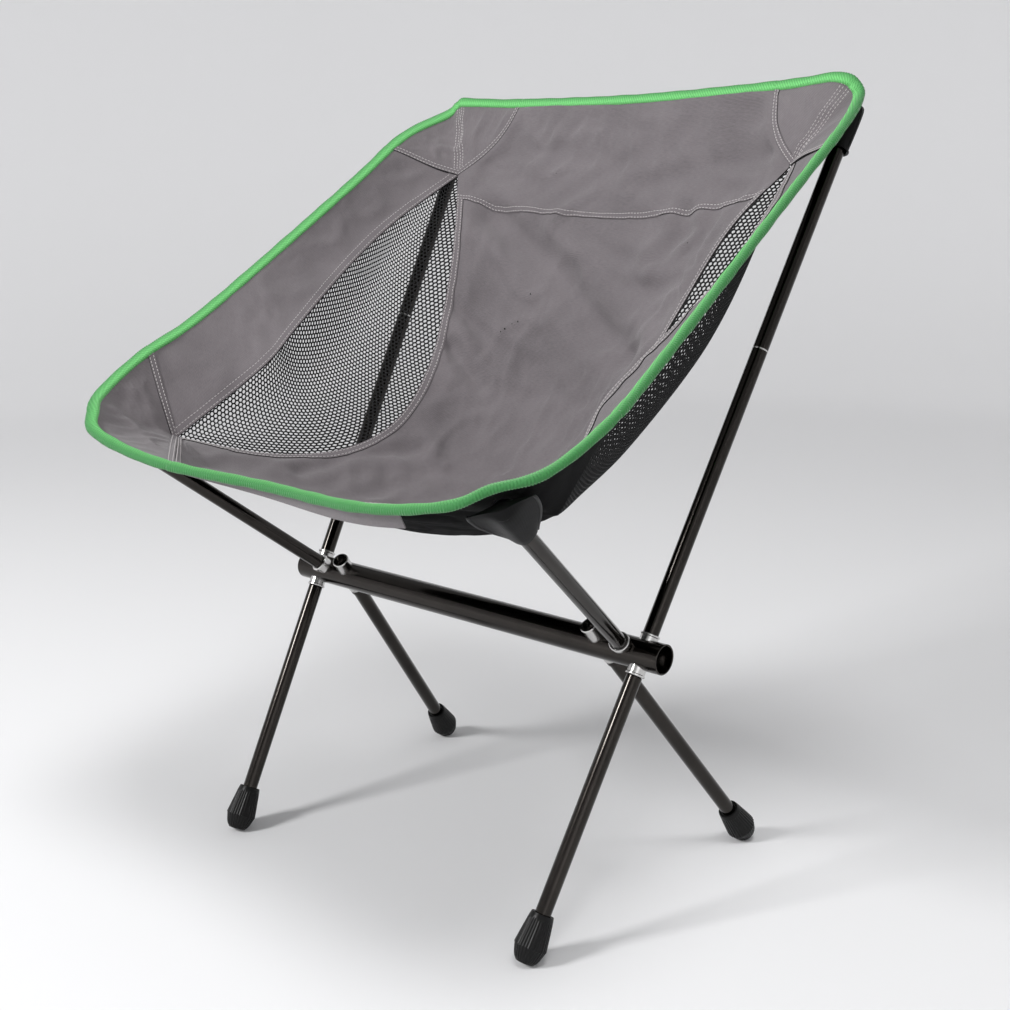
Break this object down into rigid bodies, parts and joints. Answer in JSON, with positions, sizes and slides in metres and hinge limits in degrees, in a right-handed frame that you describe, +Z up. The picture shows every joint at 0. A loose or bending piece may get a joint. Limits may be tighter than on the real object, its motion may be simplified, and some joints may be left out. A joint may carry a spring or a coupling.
{
  "type": "folding camp chair",
  "caption": "Ultralight backpacking chair: dark tube frame on four rubber feet, with a grey fabric bucket seat with black net sides and green binding, hung by its corners on four poles",
  "frame": {"origin": "on the floor, under the middle of the chair's box", "axes": "+Z up, -Y the way the sitter faces, +X the sitter's left"},
  "size_m": [0.5288, 0.4912, 0.6674],
  "materials": {
    "tube_gunmetal": "glossy near-black gunmetal anodising",
    "bare_metal": "bare turned metal, satin",
    "foot_rubber": "matt moulded rubber with fine flutes",
    "tip_plastic": "black moulded nylon",
    "elastic_cord": "braided elastic shock cord",
    "cloth_grey": "fine plain-weave polyester, warm grey inside and black outside",
    "net_black": "open black net",
    "tape_green": "ribbed mint green binding tape",
    "pocket_black": "black reinforced pocket cloth with a slight sheen"
  },
  "bodies": {
    "frame_and_sling": {"crossbar": "tube_gunmetal", "front_sleeve_left": "bare_metal", "rear_sleeve_left": "bare_metal", "seat_socket_left": "bare_metal", "back_pole_lower_left": "tube_gunmetal", "back_pole_upper_left": "tube_gunmetal", "back_pole_ferrule_left": "bare_metal", "back_pole_tip_left": "tip_plastic", "back_pole_cord_left": "elastic_cord", "seat_pole_left": "tube_gunmetal", "seat_pole_tip_left": "tip_plastic", "seat_pole_cord_left": "elastic_cord", "wing_left": "cloth_grey", "mesh_left": "net_black", "binding_side_left": "tape_green", "front_sleeve_right": "bare_metal", "rear_sleeve_right": "bare_metal", "seat_socket_right": "bare_metal", "back_pole_lower_right": "tube_gunmetal", "back_pole_upper_right": "tube_gunmetal", "back_pole_ferrule_right": "bare_metal", "back_pole_tip_right": "tip_plastic", "back_pole_cord_right": "elastic_cord", "seat_pole_right": "tube_gunmetal", "seat_pole_tip_right": "tip_plastic", "seat_pole_cord_right": "elastic_cord", "wing_right": "cloth_grey", "mesh_right": "net_black", "binding_side_right": "tape_green", "seat_back_panel": "cloth_grey", "upper_back_band": "cloth_grey", "front_hem": "cloth_grey", "binding_front": "tape_green", "binding_top": "tape_green"},
    "front_leg_left_slider": {"front_leg_left": "tube_gunmetal", "front_foot_left": "foot_rubber", "front_leg_cord_left": "elastic_cord"},
    "rear_leg_left_slider": {"rear_leg_left": "tube_gunmetal", "rear_foot_left": "foot_rubber", "rear_leg_cord_left": "elastic_cord"},
    "front_leg_right_slider": {"front_leg_right": "tube_gunmetal", "front_foot_right": "foot_rubber", "front_leg_cord_right": "elastic_cord"},
    "rear_leg_right_slider": {"rear_leg_right": "tube_gunmetal", "rear_foot_right": "foot_rubber", "rear_leg_cord_right": "elastic_cord"},
    "front_corner_left": {"front_corner_left_patch": "cloth_grey", "front_corner_left_binding": "tape_green", "front_corner_left_pocket": "pocket_black"},
    "top_corner_left": {"top_corner_left_patch": "cloth_grey", "top_corner_left_binding": "tape_green", "top_corner_left_pocket": "pocket_black"},
    "front_corner_right": {"front_corner_right_patch": "cloth_grey", "front_corner_right_binding": "tape_green", "front_corner_right_pocket": "pocket_black"},
    "top_corner_right": {"top_corner_right_patch": "cloth_grey", "top_corner_right_binding": "tape_green", "top_corner_right_pocket": "pocket_black"}
  },
  "joints": [
    {"name": "front_leg_left_pulls_out", "type": "slide", "parent": "frame_and_sling", "child": "front_leg_left_slider", "axis": [-0.0575, -0.5032, -0.8623], "range_m": [0, 0.035], "stiffness_N_per_m": 120, "springref_m": -0.02},
    {"name": "rear_leg_left_pulls_out", "type": "slide", "parent": "frame_and_sling", "child": "rear_leg_left_slider", "axis": [0.135, 0.6071, -0.7831], "range_m": [0, 0.028], "stiffness_N_per_m": 120, "springref_m": -0.02},
    {"name": "front_leg_right_pulls_out", "type": "slide", "parent": "frame_and_sling", "child": "front_leg_right_slider", "axis": [0.0575, -0.5032, -0.8623], "range_m": [0, 0.035], "stiffness_N_per_m": 120, "springref_m": -0.02},
    {"name": "rear_leg_right_pulls_out", "type": "slide", "parent": "frame_and_sling", "child": "rear_leg_right_slider", "axis": [-0.135, 0.6071, -0.7831], "range_m": [0, 0.028], "stiffness_N_per_m": 120, "springref_m": -0.02},
    {"name": "front_corner_left_pulls_off", "type": "slide", "parent": "frame_and_sling", "child": "front_corner_left", "axis": [0.185, -0.7698, 0.6109], "range_m": [0, 0.04]},
    {"name": "top_corner_left_pulls_off", "type": "slide", "parent": "frame_and_sling", "child": "top_corner_left", "axis": [0.0575, 0.5032, 0.8623], "range_m": [0, 0.04]},
    {"name": "front_corner_right_pulls_off", "type": "slide", "parent": "frame_and_sling", "child": "front_corner_right", "axis": [-0.185, -0.7698, 0.6109], "range_m": [0, 0.04]},
    {"name": "top_corner_right_pulls_off", "type": "slide", "parent": "frame_and_sling", "child": "top_corner_right", "axis": [-0.0575, 0.5032, 0.8623], "range_m": [0, 0.04]}
  ]
}
